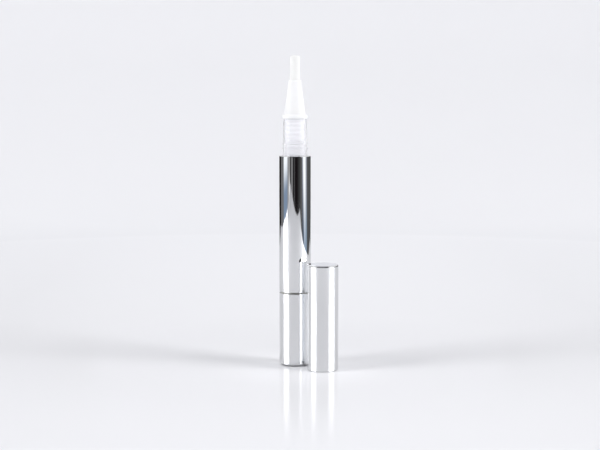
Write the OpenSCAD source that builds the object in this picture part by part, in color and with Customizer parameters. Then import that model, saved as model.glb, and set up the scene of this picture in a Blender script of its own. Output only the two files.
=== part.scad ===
// Twist-up nail oil pen with a brush tip. It stands on its knob, and its cap stands beside it.
// The origin is the centre of the knob's flat foot, and +Z runs up to the brush.
// Turning the knob turns the lead screw in a fixed nut, which pushes the piston up in the oil.

/* [Pen body] */
// Outside diameter of the barrel and the knob
pen_d = 12; // [11.6:0.1:14]
// Wall of the aluminium barrel, knob and cap
shell_wall = 0.4; // [0.3:0.05:0.5]
// Thickness of the knob's foot and of the cap's top
end_t = 0.5; // [0.4:0.05:0.8]
// Rounding round the knob's foot and the cap's top
end_round = 0.6; // [0.55:0.05:1]
// Length of the aluminium barrel
barrel_len = 52; // [50:0.5:64]
// Length of the knob
knob_len = 28; // [26:0.5:34]
// Gap in which the knob turns below the barrel
turn_gap = 0.3; // [0.2:0.05:0.4]
// Rounding of the barrel's rolled top edge
roll_round = 0.55; // [0.5:0.05:0.8]
// Width of the barrel's rolled top edge
roll_w = 1; // [0.9:0.05:1.2]
// Chamfer on the two edges that meet at the knob's gap
edge_chamfer = 0.12; // [0.05:0.01:0.2]

/* [Reservoir] */
// Wall of the reservoir inside the barrel
tube_wall = 0.8; // [0.7:0.05:0.9]
// Height of the neck above the barrel
neck_len = 14; // [13:0.5:18]
// How far the neck's lower part, which the cap snaps on, stands in from the tube
neck_step = 0.975; // [0.9:0.025:1.1]
// How far the neck's upper part, which holds the nozzle, stands in from its lower part
neck_relief = 0.125; // [0.05:0.025:0.2]
// Height of the neck's lower part
snap_neck_len = 6.2; // [6:0.1:7]
// Wall of the neck's upper part
neck_wall = 0.65; // [0.55:0.05:0.75]
// How far the two snap beads stand out
bead_reach = 0.225; // [0.175:0.025:0.25]
// Radius of each bead's round back
bead_r = 0.45; // [0.35:0.05:0.5]
// Height of the lower bead above the barrel
low_bead_h = 2.75; // [2:0.05:3]
// Height of the upper bead above the barrel
high_bead_h = 4.55; // [4:0.05:5]
// Height of the ring groove above the barrel
groove_h = 0.75; // [0.6:0.05:1]
// Width of the ring groove
groove_w = 0.4; // [0.3:0.05:0.5]
// Depth of the ring groove
groove_depth = 0.15; // [0.1:0.05:0.2]
// Thickness of the shoulder that closes the chamber's top
shoulder_t = 1.3; // [1.2:0.05:1.6]

/* [Nozzle] */
// How far the flange that rests on the neck stands out past it
flange_reach = 0.275; // [0.2:0.025:0.3]
// Thickness of the flange
flange_t = 1.45; // [1.2:0.05:1.8]
// Width of the ledge that the flange leaves round the cone
flange_ledge = 0.675; // [0.5:0.025:0.8]
// Wall of the cone's tip round the brush
tip_wall = 0.37; // [0.3:0.01:0.5]
// Height of the cone
cone_len = 13; // [12:0.5:16]
// Chamfer round the cone's tip
tip_chamfer = 0.12; // [0.05:0.01:0.2]
// Room between the plug and the neck, which the sealing ribs fill
plug_room = 0.3; // [0.25:0.05:0.4]
// Bore in which the feed pipe's core sits, as a share of the plug's diameter
core_share = 0.7; // [0.66:0.01:0.72]
// Depth of the plug in the neck
plug_len = 8; // [7.5:0.5:9]
// Number of sealing ribs on the plug
plug_ribs = 5; // [3:1:6]
// Thickness of a sealing rib at its crest
plug_rib_t = 0.5; // [0.4:0.05:0.6]
// Length of the narrow bore at the cone's tip
tip_bore_len = 4.6; // [4:0.1:5]

/* [Brush] */
// Number of filaments
filaments = 380; // [300:10:500]
// Width of a filament as a share of the room that it has
filament_share = 0.69; // [0.5:0.01:0.7]
// Width of the bundle where it leaves the cone, as a share of its slug's seat
brush_share = 0.788; // [0.74:0.002:0.82]
// Length of the bundle past the cone
brush_out = 9.3; // [8:0.1:12]
// Height of the bundle's domed end
brush_dome = 0.4; // [0.2:0.05:0.6]
// Width of the bundle's end as a share of its root
brush_taper_share = 0.92; // [0.85:0.01:1]
// Thickness of the slug that the filaments are fused in
slug_t = 2; // [1.5:0.1:2.5]

/* [Feed pipe] */
// Outside diameter of the pipe
pipe_d = 1.5; // [1.4:0.05:1.6]
// Bore of the pipe
pipe_bore = 0.8; // [0.6:0.05:0.9]
// How far the pipe reaches past the cone, inside the brush
pipe_reach = 2.5; // [1:0.1:4]
// Wall of the core below the brush
core_wall = 0.7; // [0.6:0.05:0.8]
// Thickness of the core's foot
core_foot_t = 1.2; // [1:0.1:1.5]
// How far the core's foot stands out past the core
core_foot_step = 0.4; // [0.3:0.05:0.5]

/* [Drive] */
// Room below the lead screw in the knob
screw_foot_gap = 1.5; // [1:0.1:2]
// Width of the lead screw across its flats, as a share of its diameter
screw_flat_share = 0.7; // [0.65:0.01:0.75]
// Length of the nut's threaded bore
nut_len = 6.5; // [5:0.5:8]
// Thickness of the flange under the drive nut
nut_flange_t = 0.8; // [0.7:0.05:1]
// Wall of the nut's boss round its bore
nut_boss_wall = 1.2; // [1:0.05:1.4]
// Number of ratchet teeth
ratchet_teeth = 18; // [12:3:24]
// Depth of a ratchet tooth
tooth_depth = 0.45; // [0.4:0.05:0.5]
// Height of the ratchet
ratchet_h = 3.2; // [2.8:0.1:4]
// Wall outside the ratchet teeth
ratchet_wall = 0.55; // [0.5:0.05:0.6]
// Radial thickness of a pawl arm
pawl_t = 0.35; // [0.3:0.01:0.4]
// Room in which a pawl arm bends
pawl_room = 0.4; // [0.35:0.01:0.45]
// Wall of the pawl ring's hub
pawl_hub_wall = 0.35; // [0.3:0.01:0.4]
// Gap between the pawl arms and the tips of the ratchet teeth
pawl_gap = 0.15; // [0.1:0.01:0.2]

/* [Knob core] */
// Wall round the lead screw in the shaft that carries the pawl ring
shaft_wall = 0.62; // [0.55:0.01:0.7]
// Depth of the two flats on that shaft
shaft_flat = 0.25; // [0.2:0.01:0.3]
// Height of the snap bead that holds the knob in the nut
snap_h = 1; // [0.8:0.05:1.2]
// How far the snap bead catches behind the nut's lip
snap_catch = 0.25; // [0.2:0.01:0.35]
// How far the collar in the nut's lip stands in from the ratchet
collar_step = 0.65; // [0.6:0.05:0.75]
// Wall of the core's outer sleeve
sleeve_wall = 0.9; // [0.8:0.05:1.1]
// Thickness of the deck that closes the core's top
deck_t = 1.5; // [1.2:0.1:2]
// Wall of the hub round the lead screw
hub_wall = 1.05; // [0.9:0.05:1.2]
// Length of the hub below the deck
hub_len = 18; // [14:0.5:20]
// Number of ribs between the hub and the sleeve
core_ribs = 4; // [3:1:6]
// Thickness of each rib
core_rib_t = 0.8; // [0.6:0.05:1]

/* [Piston] */
// Length of the piston
piston_len = 8; // [7:0.5:9]
// Wall of the piston
piston_wall = 0.9; // [0.8:0.05:1.1]
// Height of each sealing lip
lip_h = 1.6; // [1.2:0.1:2]
// How far the lips stand out past the piston's body
lip_reach = 0.5; // [0.4:0.05:0.6]
// How much narrower the screw's snap head is than the screw
head_step = 0.1; // [0.05:0.01:0.2]
// Height of the screw's snap head
head_h = 2.1; // [1.8:0.1:2.4]
// How far the head catches over the piston's floor
head_catch = 0.4; // [0.35:0.05:0.5]
// Thickness of the piston's floor, which the head snaps through
piston_floor_t = 0.8; // [0.7:0.05:1]

/* [Cap] */
// How much narrower the cap is than the pen
cap_step = 0.2; // [0:0.05:0.4]
// Room above the brush inside the cap
tip_room = 1; // [0.6:0.1:2]
// Thickness of the liner's closed end
liner_top_t = 0.7; // [0.5:0.05:1]
// How far the liner's rim stays behind the cap's rim
liner_recess = 0.4; // [0.3:0.05:0.6]
// How far the snap ridge stands into the liner
ridge_h = 0.15; // [0.1:0.01:0.2]
// Gap between the cap and the pen that it stands beside
cap_apart = 2.3; // [2:0.1:30]
// Direction of the cap from the pen, from straight right towards the front
cap_angle = 43; // [0:1:180]

/* [Clearances] */
// Gap round a part that is pressed in
press_gap = 0.05; // [0.04:0.01:0.06]
// Gap round a part that turns or slides
run_gap = 0.08; // [0.05:0.01:0.1]
// Play along the axis between moving parts
axial_play = 0.2; // [0.15:0.01:0.25]
// Gap between the neck's beads and the cap's liner
cap_gap = 0.1; // [0.08:0.01:0.12]

/* [Hidden] */
// Facets round a full circle
$fn = 64;
// How far a cut reaches past the face that it opens
overrun = 0.5;

// Heights up the pen
barrel_z = knob_len + turn_gap;
barrel_top = barrel_z + barrel_len;
neck_top = barrel_top + neck_len;
cone_z = neck_top + flange_t;
cone_top = cone_z + cone_len;
brush_top = cone_top + brush_out;

// Reservoir and nozzle, from the tube's outside to the brush
tube_r = pen_d / 2 - shell_wall - press_gap;
chamber_r = tube_r - tube_wall;
chamber_top = barrel_top - shoulder_t;
tube_top = barrel_top - shell_wall - press_gap;
snap_neck_d = 2 * (tube_r - neck_step);
bead_d = snap_neck_d + 2 * bead_reach;
neck_d = snap_neck_d - 2 * neck_relief;
neck_bore = neck_d - 2 * neck_wall;
plug_d = neck_bore - 2 * plug_room;
core_bore = core_share * plug_d;
brush_d = brush_share * core_bore;
flange_d = neck_d + 2 * flange_reach;
cone_base_d = flange_d - 2 * flange_ledge;
cone_tip_d = brush_d + 2 * (press_gap + tip_wall);

// Drive nut and ratchet, from the barrel's lower end up
nut_z = barrel_z + press_gap;
tube_z = nut_z + nut_flange_t + press_gap;
nut_r = chamber_r - press_gap;
snap_z = nut_z + nut_flange_t + axial_play;
ratchet_z = snap_z + snap_h + axial_play;
web_z = ratchet_z + ratchet_h + axial_play;
nut_top = web_z + nut_len;
tooth_root_r = nut_r - ratchet_wall;
tooth_tip_r = tooth_root_r - tooth_depth;
tooth_angle = 360 / ratchet_teeth;
collar_d = 2 * (tooth_root_r - collar_step);
collar_hole_r = collar_d / 2 + run_gap;

// Pawl ring, shaft and lead screw, from the ratchet teeth inwards
pawl_r = tooth_tip_r - pawl_gap - pawl_t;
pawl_hub_r = pawl_r - pawl_room;
shaft_d = 2 * (pawl_hub_r - pawl_hub_wall - press_gap);
shaft_flat_w = shaft_d - 2 * shaft_flat;
screw_d = shaft_d - 2 * (shaft_wall + run_gap);
screw_flat_w = screw_flat_share * screw_d;
head_d = screw_d - head_step;
head_neck_d = head_d - 2 * head_catch;
nut_boss_d = screw_d + 2 * (run_gap + nut_boss_wall);

// Lead screw and piston at rest, with the piston at the bottom of its travel
screw_z = end_t + screw_foot_gap;
piston_z = nut_top + axial_play;
head_z = piston_z + piston_floor_t + axial_play;
socket_r = head_d / 2 + 2 * run_gap;
piston_r = chamber_r - run_gap - lip_reach;

// Brush seat in the nozzle
slug_top = cone_top - tip_bore_len - press_gap;
slug_z = slug_top - slug_t;
plug_z = neck_top - plug_len;
core_r = core_bore / 2 - press_gap;
core_foot_r = core_r + core_foot_step;
core_z = plug_z + axial_play;

// Cap
cap_d = pen_d - cap_step;
liner_r = cap_d / 2 - shell_wall - press_gap;
liner_bore_r = bead_d / 2 + cap_gap;
liner_top = brush_top - barrel_top + tip_room + liner_top_t;
cap_len = liner_top + press_gap + end_t;
ridge_z = (low_bead_h + high_bead_h) / 2;
cap_distance = pen_d / 2 + cap_apart + cap_d / 2;
cap_x = cap_distance * cos(cap_angle);
cap_y = -cap_distance * sin(cap_angle);

// Half section of a straight cup that stands on its rounded closed end
module cup_section(r, h, corner) {
    translate([0, corner]) square([r, h - corner]);
    square([r - corner, h]);
    translate([r - corner, corner]) circle(r = corner);
}

// Drawn aluminium cup of one wall, open upwards
module drawn_cup(r, h) {
    rotate_extrude() difference() {
        cup_section(r, h, end_round);
        translate([0, end_t]) cup_section(r - shell_wall, h + overrun, end_round - shell_wall);
    }
}

// Round bar with two flats, d across the round and w across the flats
module flatted_bar(d, w, h) {
    intersection() {
        cylinder(h = h, d = d);
        translate([-d, -w / 2, 0]) cube([2 * d, w, h]);
    }
}

// Point at a radius and an angle
function polar(r, a) = [r * cos(a), r * sin(a)];

// Aluminium tube whose top edge is rolled in over the reservoir's shoulder
module barrel_shell() color([0.82, 0.83, 0.85]) difference() {
    union() {
        translate([0, 0, barrel_z]) cylinder(h = edge_chamfer, r1 = pen_d / 2 - edge_chamfer, r2 = pen_d / 2);
        translate([0, 0, barrel_z + edge_chamfer])
            cylinder(h = barrel_len - edge_chamfer - roll_round, d = pen_d);
        translate([0, 0, barrel_top]) mirror([0, 0, 1])
            rotate_extrude() cup_section(pen_d / 2, 2 * roll_round, roll_round);
    }
    translate([0, 0, barrel_z - overrun])
        cylinder(h = barrel_len + overrun - shell_wall, r = pen_d / 2 - shell_wall);
    translate([0, 0, barrel_z]) cylinder(h = barrel_len + overrun, r = pen_d / 2 - roll_w);
}

// Clear tube for the oil, drawn in at the top to a neck with two snap beads and a ring groove
module reservoir() color([0.85, 0.89, 0.93, 0.6]) difference() {
    union() {
        translate([0, 0, tube_z]) cylinder(h = tube_top - tube_z, r = tube_r);
        translate([0, 0, chamber_top])
            cylinder(h = barrel_top + snap_neck_len - chamber_top, d = snap_neck_d);
        translate([0, 0, chamber_top]) cylinder(h = neck_top - chamber_top, d = neck_d);
        for (h = [low_bead_h, high_bead_h])
            translate([0, 0, barrel_top + h])
                rotate_extrude() translate([bead_d / 2 - bead_r, 0]) circle(r = bead_r);
    }
    translate([0, 0, tube_z - overrun]) cylinder(h = chamber_top - tube_z + overrun, r = chamber_r);
    translate([0, 0, chamber_top])
        cylinder(h = chamber_r - neck_bore / 2, r1 = chamber_r, r2 = neck_bore / 2);
    translate([0, 0, chamber_top]) cylinder(h = neck_top - chamber_top + overrun, d = neck_bore);
    translate([0, 0, barrel_top + groove_h]) difference() {
        cylinder(h = groove_w, d = snap_neck_d + overrun);
        cylinder(h = groove_w, d = snap_neck_d - 2 * groove_depth);
    }
}

// Milky brush holder: cone, flange and a ribbed plug that seals in the neck
module nozzle() color([0.97, 0.97, 0.98]) difference() {
    union() {
        translate([0, 0, cone_z]) cylinder(h = cone_len - tip_chamfer, d1 = cone_base_d, d2 = cone_tip_d);
        translate([0, 0, cone_top - tip_chamfer])
            cylinder(h = tip_chamfer, d1 = cone_tip_d, d2 = cone_tip_d - 2 * tip_chamfer);
        translate([0, 0, neck_top + press_gap]) cylinder(h = flange_t - press_gap, d = flange_d);
        translate([0, 0, plug_z]) cylinder(h = plug_len + flange_t / 2, d = plug_d);
        for (i = [0:plug_ribs - 1])
            translate([0, 0, plug_z + (i + 1 / 2) * plug_len / plug_ribs])
                sealing_rib();
    }
    translate([0, 0, plug_z - overrun]) cylinder(h = slug_top - plug_z + overrun, d = core_bore);
    translate([0, 0, plug_z - overrun])
        cylinder(h = core_foot_t + axial_play + press_gap + overrun, r = core_foot_r + press_gap);
    translate([0, 0, slug_z]) cylinder(h = cone_top - slug_z + overrun, d = brush_d + 2 * press_gap);
    translate([0, 0, slug_z]) cylinder(h = slug_top + press_gap - slug_z, d = core_bore);
}

// Ring with two sloping sides that seals the plug in the neck
module sealing_rib() {
    crest_r = neck_bore / 2 - press_gap;
    slope = crest_r - plug_d / 2;
    cylinder(h = plug_rib_t, r = crest_r);
    translate([0, 0, plug_rib_t]) cylinder(h = slope, r1 = crest_r, r2 = plug_d / 2);
    translate([0, 0, -slope]) cylinder(h = slope, r1 = plug_d / 2, r2 = crest_r);
}

// Feed pipe on a hollow core, which holds the brush's slug up against its seat
module feed_pipe() color([0.90, 0.91, 0.92]) difference() {
    union() {
        translate([0, 0, core_z]) cylinder(h = slug_z - press_gap - core_z, r = core_r);
        translate([0, 0, core_z]) cylinder(h = core_foot_t, r = core_foot_r);
        translate([0, 0, core_z]) cylinder(h = cone_top + pipe_reach - core_z, d = pipe_d);
    }
    translate([0, 0, core_z - overrun])
        cylinder(h = slug_z - core_wall - core_z + overrun, r = core_r - core_wall);
    translate([0, 0, core_z]) cylinder(h = brush_top - core_z, d = pipe_bore);
}

// Filament i of the bundle stands at the i-th place of a sunflower pattern round the feed pipe
golden_angle = 137.508;
bundle_in_r = pipe_d / 2 + press_gap;
filament_d = filament_share * sqrt(PI * (pow(brush_d / 2, 2) - pow(bundle_in_r, 2)) / filaments);
filament_in_r = bundle_in_r + filament_d / 2;
filament_out_r = brush_d / 2 - filament_d / 2;
function filament_r(i) = sqrt(
    pow(filament_in_r, 2) + (pow(filament_out_r, 2) - pow(filament_in_r, 2)) * (i + 1 / 2) / filaments);
function filament_top(i) = brush_top - brush_dome * pow(filament_r(i) / filament_out_r, 2);
function filament_ring(i, share, z) = [for (k = [0:2])
    concat(polar(filament_r(i) * share, i * golden_angle)
        + polar(filament_d / 2 * share, i * golden_angle + 120 * k), [z])];

// Nylon filaments, three-sided, drawn together a little towards the tip and fused in their slug
module brush() color([1, 1, 1]) {
    translate([0, 0, slug_z]) difference() {
        cylinder(h = slug_t, r = core_r);
        translate([0, 0, -overrun]) cylinder(h = slug_t + 2 * overrun, r = bundle_in_r);
    }
    polyhedron(
        points = [for (i = [0:filaments - 1]) each concat(
            filament_ring(i, 1, slug_top - slug_t / 2),
            filament_ring(i, brush_taper_share, filament_top(i)))],
        faces = [for (i = [0:filaments - 1]) let (p = 6 * i) each [
            [p, p + 1, p + 2], [p + 5, p + 4, p + 3],
            [p, p + 3, p + 4], [p, p + 4, p + 1],
            [p + 1, p + 4, p + 5], [p + 1, p + 5, p + 2],
            [p + 2, p + 5, p + 3], [p + 2, p + 3, p]]]);
}

// Outline of the ratchet's hollow: each tooth has a steep face and a long ramp
module ratchet_outline() {
    polygon([for (i = [0:ratchet_teeth - 1])
        each [polar(tooth_tip_r, i * tooth_angle), polar(tooth_root_r, i * tooth_angle)]]);
}

// Fixed sleeve in the barrel: flange and lip below, ratchet teeth inside, nut bore above
module drive_nut() color([0.93, 0.93, 0.90]) difference() {
    union() {
        translate([0, 0, nut_z]) cylinder(h = nut_flange_t, r = tube_r);
        translate([0, 0, nut_z]) cylinder(h = nut_top - nut_z, r = nut_r);
    }
    translate([0, 0, nut_z - overrun]) cylinder(h = nut_flange_t + 2 * overrun, r = collar_hole_r);
    translate([0, 0, nut_z + nut_flange_t])
        cylinder(h = ratchet_z - nut_z - nut_flange_t, r = tooth_root_r + press_gap);
    translate([0, 0, ratchet_z - press_gap])
        linear_extrude(height = web_z - ratchet_z + press_gap) ratchet_outline();
    translate([0, 0, nut_z]) cylinder(h = nut_top - nut_z + overrun, d = screw_d + 2 * run_gap);
    translate([0, 0, web_z + nut_len / 4]) difference() {
        cylinder(h = nut_len, r = nut_r - ratchet_wall);
        cylinder(h = nut_len, d = nut_boss_d);
    }
}

// Pawl arm: its nose points against the turn that it blocks, and its root joins the hub
pawls = 3;
pawl_steps = 8;
pawl_nose_angle = 1.6;
pawl_back_angle = 14;
pawl_root_angle = 76;
pawl_end_angle = 90;
function pawl_arc(r, a, b) = [for (i = [0:pawl_steps]) polar(r, a + (b - a) * i / pawl_steps)];
module pawl_arm() {
    polygon(concat(
        [polar(pawl_r, pawl_nose_angle), polar(tooth_root_r - 2 * press_gap, pawl_nose_angle)],
        pawl_arc(pawl_r + pawl_t, pawl_back_angle, pawl_end_angle),
        pawl_arc(pawl_hub_r - pawl_hub_wall / 2, pawl_end_angle, pawl_root_angle),
        pawl_arc(pawl_r, pawl_root_angle, pawl_back_angle)));
}

// Ring keyed on the knob's shaft, with three springy arms that click over the ratchet teeth
module pawl_ring() color([0.95, 0.80, 0.35])
    translate([0, 0, ratchet_z + press_gap]) difference() {
        linear_extrude(height = ratchet_h - axial_play) {
            circle(r = pawl_hub_r);
            for (k = [0:pawls - 1]) rotate(k * 360 / pawls) pawl_arm();
        }
        translate([0, 0, -overrun])
            flatted_bar(shaft_d + 2 * press_gap, shaft_flat_w + 2 * press_gap, ratchet_h + 2 * overrun);
    }

// Drawn aluminium cup with a chamfered rim
module knob_shell() color([0.82, 0.83, 0.85]) difference() {
    drawn_cup(pen_d / 2, knob_len);
    translate([0, 0, knob_len - edge_chamfer]) difference() {
        cylinder(h = edge_chamfer + overrun, d = pen_d + overrun);
        cylinder(h = edge_chamfer, r1 = pen_d / 2, r2 = pen_d / 2 - edge_chamfer);
    }
}

// Core of the knob: sleeve, deck, hub and ribs, with the snap bead and the keyed shaft on top
module knob_core() color([0.88, 0.88, 0.86]) {
    core_bottom = end_t + end_round - shell_wall;
    core_top = knob_len - press_gap;
    core_deck = core_top - deck_t;
    sleeve_r = pen_d / 2 - shell_wall - press_gap;
    hub_d = screw_d + 2 * (2 * run_gap + hub_wall);
    shaft_top = web_z - axial_play;
    difference() {
        union() {
            difference() {
                translate([0, 0, core_bottom]) cylinder(h = core_top - core_bottom, r = sleeve_r);
                translate([0, 0, core_bottom - overrun])
                    cylinder(h = core_deck - core_bottom + overrun, r = sleeve_r - sleeve_wall);
            }
            translate([0, 0, core_deck - hub_len]) cylinder(h = hub_len + deck_t / 2, d = hub_d);
            for (k = [0:core_ribs - 1]) rotate([0, 0, k * 360 / core_ribs])
                translate([hub_d / 4, -core_rib_t / 2, core_deck - hub_len])
                    cube([sleeve_r - sleeve_wall / 2 - hub_d / 4, core_rib_t, hub_len + deck_t / 2]);
            translate([0, 0, core_deck]) cylinder(h = snap_z - core_deck, d = collar_d);
            translate([0, 0, snap_z])
                cylinder(h = snap_h, r1 = collar_hole_r + snap_catch, r2 = collar_d / 2 - snap_catch);
            translate([0, 0, snap_z]) flatted_bar(shaft_d, shaft_flat_w, shaft_top - snap_z);
        }
        translate([0, 0, core_deck - hub_len - overrun])
            cylinder(h = hub_len + overrun, d = screw_d + 4 * run_gap);
        translate([0, 0, core_deck - overrun])
            flatted_bar(screw_d + 2 * run_gap, screw_flat_w + 2 * run_gap,
                shaft_top - core_deck + 2 * overrun);
    }
}

// Lead screw with two flats, and a snap head that turns freely in the piston
module lead_screw() color([0.75, 0.78, 0.80]) {
    shoulder_z = piston_z - axial_play / 2;
    translate([0, 0, screw_z]) flatted_bar(screw_d, screw_flat_w, shoulder_z - screw_z);
    translate([0, 0, shoulder_z - head_neck_d / 2])
        cylinder(h = head_z - shoulder_z + head_neck_d, d = head_neck_d);
    translate([0, 0, head_z]) cylinder(h = head_h / 2, d = head_d);
    translate([0, 0, head_z + head_h / 2]) cylinder(h = head_h / 2, d1 = head_d, d2 = head_neck_d);
}

// Plunger with a sealing lip at each end and a boss that snaps over the screw's head
module piston() color([0.90, 0.92, 0.94]) {
    wall_in_r = piston_r - piston_wall;
    boss_r = socket_r + piston_wall;
    socket_top = head_z + head_h + axial_play;
    translate([0, 0, piston_z]) difference() {
        union() {
            cylinder(h = piston_len, r = piston_r);
            cylinder(h = lip_h, r1 = piston_r + lip_reach, r2 = piston_r);
            translate([0, 0, piston_len - lip_h])
                cylinder(h = lip_h, r1 = piston_r, r2 = piston_r + lip_reach);
        }
        translate([0, 0, piston_len - lip_h / 2])
            cylinder(h = lip_h / 2 + overrun, r1 = wall_in_r, r2 = piston_r + lip_reach + overrun);
        translate([0, 0, -overrun]) difference() {
            cylinder(h = socket_top - piston_z + overrun, r = wall_in_r);
            cylinder(h = socket_top - piston_z + overrun, r = boss_r);
        }
        translate([0, 0, -overrun])
            cylinder(h = piston_floor_t + 2 * overrun, d = head_neck_d + 4 * run_gap);
        translate([0, 0, piston_floor_t]) cylinder(h = socket_top - piston_z - piston_floor_t, r = socket_r);
    }
}

// Drawn aluminium cap, closed end up
module cap_shell() color([0.82, 0.83, 0.85])
    translate([cap_x, cap_y, cap_len]) mirror([0, 0, 1]) drawn_cup(cap_d / 2, cap_len);

// Liner of the cap, with the ridge that snaps in between the neck's two beads
module cap_liner() color([0.93, 0.93, 0.94])
    translate([cap_x, cap_y, 0]) difference() {
        union() {
            difference() {
                translate([0, 0, liner_recess]) cylinder(h = liner_top - liner_recess, r = liner_r);
                cylinder(h = liner_top - liner_top_t, r = liner_bore_r);
            }
            translate([0, 0, ridge_z]) difference() {
                cylinder(h = 2 * ridge_h, r = liner_bore_r + press_gap);
                translate([0, 0, -overrun])
                    cylinder(h = 2 * overrun + 2 * ridge_h, r = liner_bore_r - ridge_h);
            }
        }
        translate([0, 0, liner_recess])
            cylinder(h = liner_r - liner_bore_r, r1 = liner_r - press_gap, r2 = liner_bore_r);
    }

barrel_shell();
reservoir();
nozzle();
feed_pipe();
brush();
drive_nut();
knob_shell();
knob_core();
pawl_ring();
lead_screw();
piston();
cap_shell();
cap_liner();
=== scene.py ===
import math
import random

import bmesh
import bpy
from mathutils import Matrix, Vector


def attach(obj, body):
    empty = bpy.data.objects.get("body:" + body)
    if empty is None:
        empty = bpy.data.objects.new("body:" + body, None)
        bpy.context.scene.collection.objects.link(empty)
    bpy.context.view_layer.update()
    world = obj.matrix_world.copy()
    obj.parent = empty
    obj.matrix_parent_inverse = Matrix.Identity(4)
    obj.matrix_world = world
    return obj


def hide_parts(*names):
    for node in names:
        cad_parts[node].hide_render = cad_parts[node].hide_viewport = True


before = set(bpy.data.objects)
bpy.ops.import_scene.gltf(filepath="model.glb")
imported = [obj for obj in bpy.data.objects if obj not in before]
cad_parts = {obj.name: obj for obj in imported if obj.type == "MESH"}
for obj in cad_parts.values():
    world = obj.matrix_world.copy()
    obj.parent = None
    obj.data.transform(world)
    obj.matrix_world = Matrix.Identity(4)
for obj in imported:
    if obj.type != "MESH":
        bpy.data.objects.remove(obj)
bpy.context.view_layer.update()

# Barrel shell. A seamless aluminium tube, drawn, cut to length and polished bright. Its top edge is
# rolled inwards over the reservoir's shoulder, which holds the clear tube in it, and its lower edge
# is chamfered where the knob turns below it.
MM = 0.001
PEN_R = 6.0
SHELL_WALL = 0.4
BARREL_Z = 28.4
BARREL_TOP = 80.3
EDGE_CHAMFER = 0.2
ROLL_ROUND = 0.3
ROLL_W = 1.0
LIP_ROUND = 0.15
WALL_HOLD = 0.06
SHELL_STEPS = 320
DIE_LINE_GAP = 0.25
POLISH_PATCH = 6.0
ALUMINIUM_BRIGHT = "F4F5F6"
ALUMINIUM_DULL = "F1F2F4"


def linear(code, alpha=1.0):
    """Turns an sRGB hex colour to the linear one that the shaders take."""
    parts = [int(code[i:i + 2], 16) / 255 for i in (0, 2, 4)]
    return [c / 12.92 if c <= 0.04045 else ((c + 0.055) / 1.055) ** 2.4 for c in parts] + [alpha]


def add_node(tree, kind, inputs=(), **settings):
    """Adds a node, with its settings, its values and the sockets that lead into it."""
    made = tree.nodes.new(kind)
    for key, value in settings.items():
        setattr(made, key, value)
    for key, value in dict(inputs).items():
        if isinstance(value, bpy.types.NodeSocket):
            tree.links.new(value, made.inputs[key])
        else:
            made.inputs[key].default_value = value
    return made


def start_material(name):
    """A new material, its node tree, its output, and the Object coordinates that patterns read."""
    made = bpy.data.materials.new(name)
    made.use_nodes = True
    made.node_tree.nodes.clear()
    out = add_node(made.node_tree, "ShaderNodeOutputMaterial")
    place = add_node(made.node_tree, "ShaderNodeTexCoord")
    return made, made.node_tree, out.inputs["Surface"], place.outputs["Object"]


def turned(outline, rounded=(), holds=(), steps=SHELL_STEPS, axis=(0.0, 0.0)):
    """Turns an outline of (radius, height) points in mm round an upright axis. rounded lists corners
    as (point, run, segments), and holds the heights of rings that keep a long wall's shading true."""
    bm = bmesh.new()
    points = [bm.verts.new((r * MM, 0, z * MM)) for r, z in outline]
    hollow = all(r > 0 for r, z in outline)
    for a, b in zip(points, points[1:] + points[:1] if hollow else points[1:]):
        bm.edges.new((a, b))
    for corner, run, segments in rounded:
        bmesh.ops.bevel(bm, geom=[points[corner]], offset=run * MM, offset_type="OFFSET",
                        affect="VERTICES", segments=segments, profile=0.5, material=-1)
    bmesh.ops.spin(bm, geom=bm.verts[:] + bm.edges[:], cent=(0, 0, 0), axis=(0, 0, 1), dvec=(0, 0, 0),
                   angle=math.tau, steps=steps, use_merge=True, use_duplicate=False)
    bmesh.ops.remove_doubles(bm, verts=bm.verts, dist=MM * 1e-4)
    for height in holds:
        bmesh.ops.bisect_plane(bm, geom=bm.verts[:] + bm.edges[:] + bm.faces[:], dist=MM * 1e-5,
                               plane_co=(0, 0, height * MM), plane_no=(0, 0, 1))
    bmesh.ops.recalc_face_normals(bm, faces=bm.faces)
    bmesh.ops.translate(bm, verts=bm.verts, vec=(axis[0] * MM, axis[1] * MM, 0))
    return bm


def piece(bm, name, material, body, slot, *nodes, crease=32):
    """Makes the mesh an object that rides on a body and stands for these CAD nodes."""
    mesh = bpy.data.meshes.new(name)
    bm.to_mesh(mesh)
    bm.free()
    mesh.shade_smooth()
    mesh.set_sharp_from_angle(angle=math.radians(crease))
    mesh.materials.append(material)
    made = bpy.data.objects.new(name, mesh)
    bpy.context.scene.collection.objects.link(made)
    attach(made, body)
    if nodes:
        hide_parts(*nodes)
    return made


# Drawn aluminium, polished: a near mirror. The die leaves faint lines along the tube, really some
# 0.02 mm apart and drawn here at 0.25 mm, and the wheel leaves patches a little less bright.
polished_aluminium, tree, surface, place = start_material("polished_drawn_aluminium")
along = add_node(tree, "ShaderNodeMapping", {"Vector": place, "Scale": (1, 1, 0.03)})
lines = add_node(tree, "ShaderNodeTexNoise", {
    "Vector": along.outputs["Vector"], "Scale": 1 / (DIE_LINE_GAP * MM), "Detail": 2.0,
    "Roughness": 0.5})
patches = add_node(tree, "ShaderNodeTexNoise", {"Vector": place, "Scale": 1 / (POLISH_PATCH * MM),
                                                "Detail": 3.0})
haze = add_node(tree, "ShaderNodeMapRange", {"Value": patches.outputs["Fac"], "From Min": 0.3,
                                             "From Max": 0.7, "To Min": 0.018, "To Max": 0.036})
tint = add_node(tree, "ShaderNodeMix", {"Factor": patches.outputs["Fac"], "A": linear(ALUMINIUM_DULL),
                                        "B": linear(ALUMINIUM_BRIGHT)}, data_type="RGBA")
relief = add_node(tree, "ShaderNodeBump", {"Height": lines.outputs["Fac"], "Strength": 0.04,
                                           "Distance": 0.001 * MM})
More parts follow.
